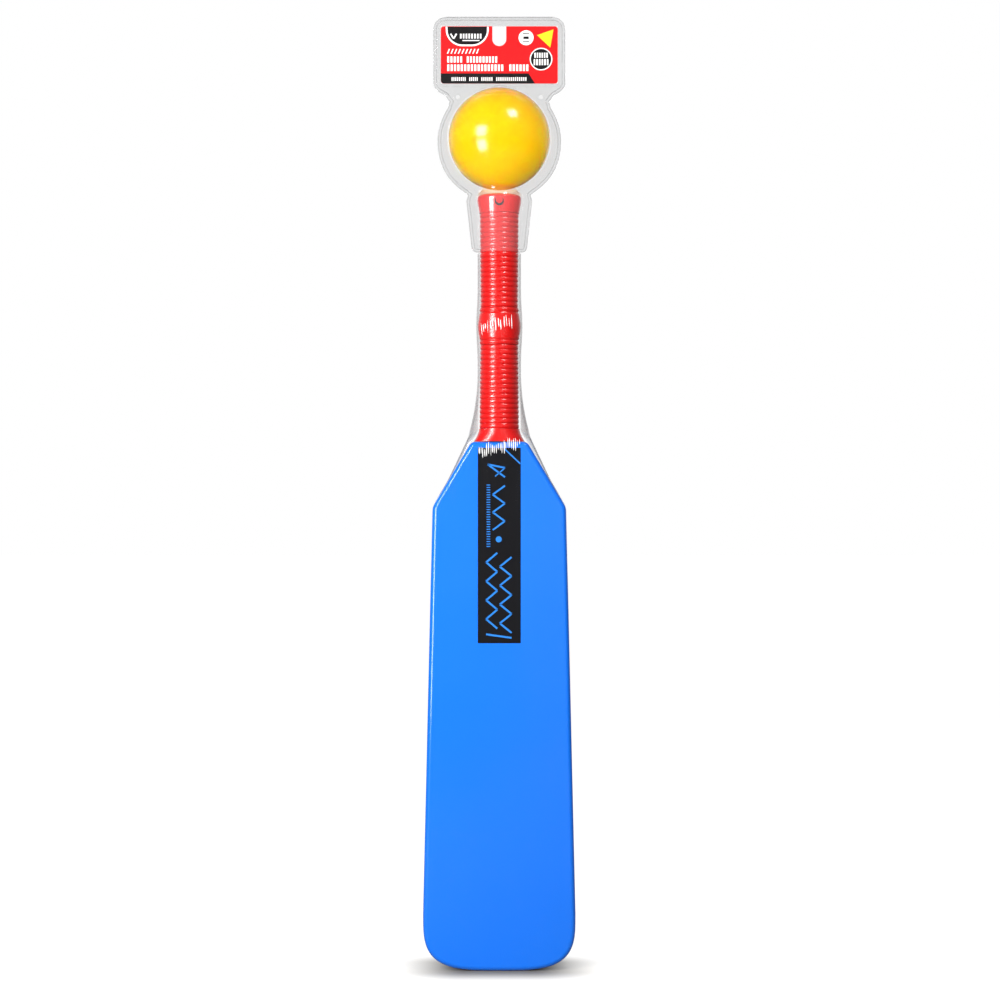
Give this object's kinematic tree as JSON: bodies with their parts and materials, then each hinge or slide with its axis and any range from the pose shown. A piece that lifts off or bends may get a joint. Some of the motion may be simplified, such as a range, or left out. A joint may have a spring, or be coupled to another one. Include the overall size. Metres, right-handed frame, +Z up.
{
  "type": "foam cricket bat set",
  "caption": "Child's foam cricket bat with a ribbed handle, hung by a clear hinged clamshell that holds a soft ball and a header card, with clear film over the handle.",
  "frame": {"origin": "centre of the bounding box's bottom, under the blade's toe", "axes": "+Z up the handle from the toe, +X across the blade to the right seen from the face, +Y out of the blade's spine side, so the face looks along -Y"},
  "size_m": [0.107, 0.0748, 0.671],
  "materials": {
    "foam_core": "closed-cell foam, matt",
    "blade_skin": "smooth moulded foam skin, satin",
    "label_vinyl": "printed vinyl, satin",
    "tube_plastic": "extruded plastic",
    "plug_plastic": "moulded plastic",
    "grip_rubber": "moulded soft rubber, satin",
    "shrink_film": "clear shrunk film",
    "clear_sheet": "clear formed sheet, gloss",
    "card_board": "printed card, coated",
    "ball_skin": "soft moulded ball, gloss"
  },
  "bodies": {
    "bat": {"blade_core": "foam_core", "blade_front_skin": "blade_skin", "blade_back_skin": "blade_skin", "blade_label": "label_vinyl", "core_tube": "tube_plastic", "tube_end_plug": "plug_plastic", "shoulder_ferrule": "grip_rubber", "lower_grip": "grip_rubber", "grip_collar": "grip_rubber", "upper_grip": "grip_rubber", "end_knob": "grip_rubber", "film_sleeve": "shrink_film"},
    "carrier": {"blister_back": "clear_sheet", "header_card": "card_board"},
    "front_shell": {"blister_front": "clear_sheet"},
    "ball": {"ball": "ball_skin"}
  },
  "joints": [
    {"name": "blister_swivel", "type": "hinge", "parent": "bat", "child": "carrier", "pos_m": [0, 0, 0.5849], "axis": [0, 0, 1], "continuous": true},
    {"name": "clamshell_hinge", "type": "hinge", "parent": "carrier", "child": "front_shell", "pos_m": [0, 0, 0.671], "axis": [-1, 0, 0], "range_deg": [0, 170]},
    {"name": "ball_spin", "type": "hinge", "parent": "carrier", "child": "ball", "pos_m": [0, 0, 0.5849], "axis": [0, 0, 1], "continuous": true}
  ]
}
